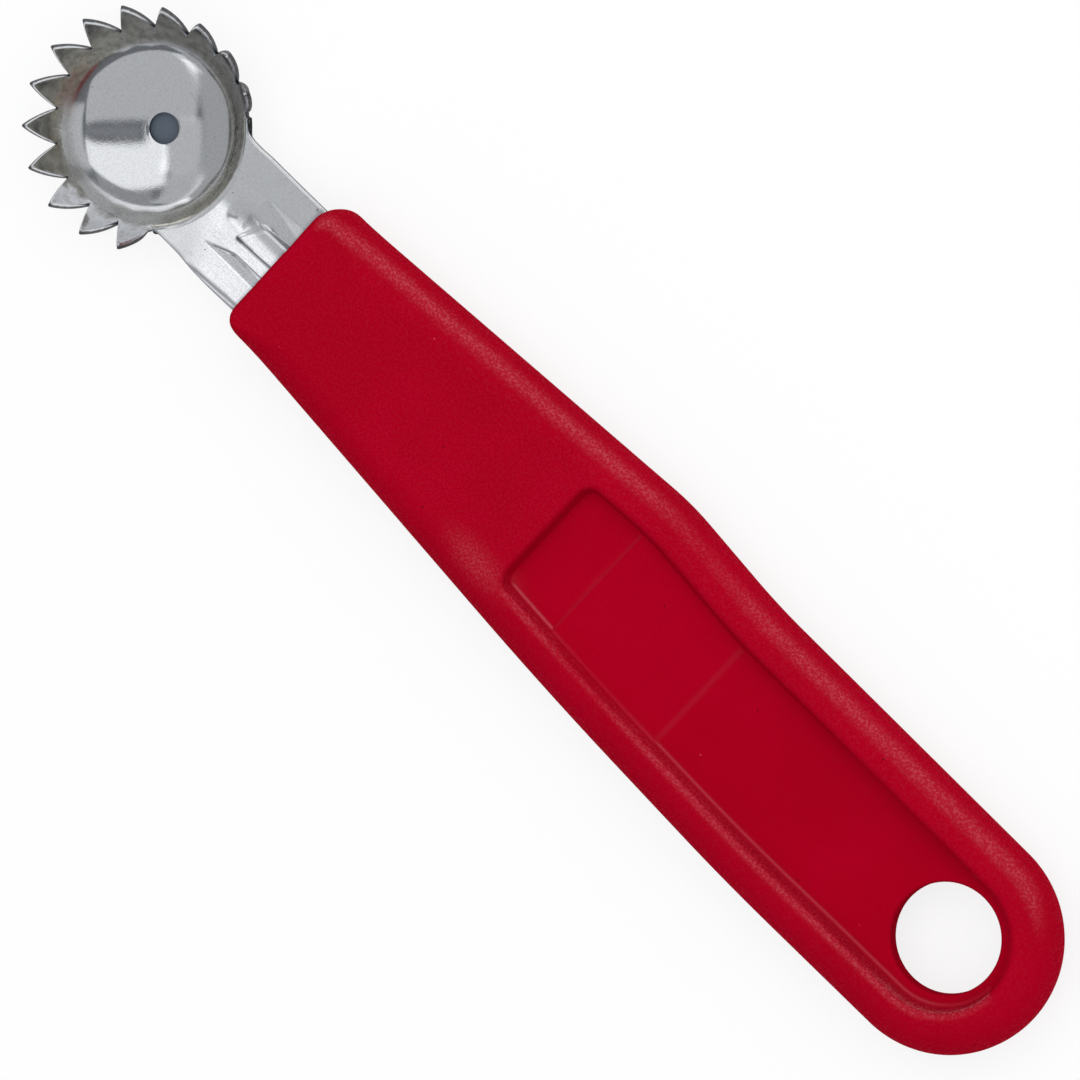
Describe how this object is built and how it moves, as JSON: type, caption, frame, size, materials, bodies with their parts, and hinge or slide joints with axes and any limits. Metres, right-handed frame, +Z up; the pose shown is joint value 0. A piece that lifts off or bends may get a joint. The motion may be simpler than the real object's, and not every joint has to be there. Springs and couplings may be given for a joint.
{
  "type": "tomato corer",
  "caption": "Hand corer: a round steel scoop with a ring of pointed teeth and a drain hole, on a ribbed neck moulded into a flat red plastic handle with a hang hole.",
  "frame": {"origin": "middle of the tool's footprint, on the plane that the handle's back lies on", "axes": "+X along the tool from the hang hole to the scoop, +Y across the handle to the palm side, +Z up, the way the scoop's hollow faces"},
  "size_m": [0.1646, 0.0292, 0.0101],
  "materials": {
    "stainless_steel": "bright stamped sheet, lightly scuffed, darker on the cut edges",
    "red_plastic": "satin, with a fine pebbled grain on the outside and a smoother recess"
  },
  "bodies": {
    "root": {"scoop_blade": "stainless_steel", "handle": "red_plastic"}
  },
  "joints": []
}
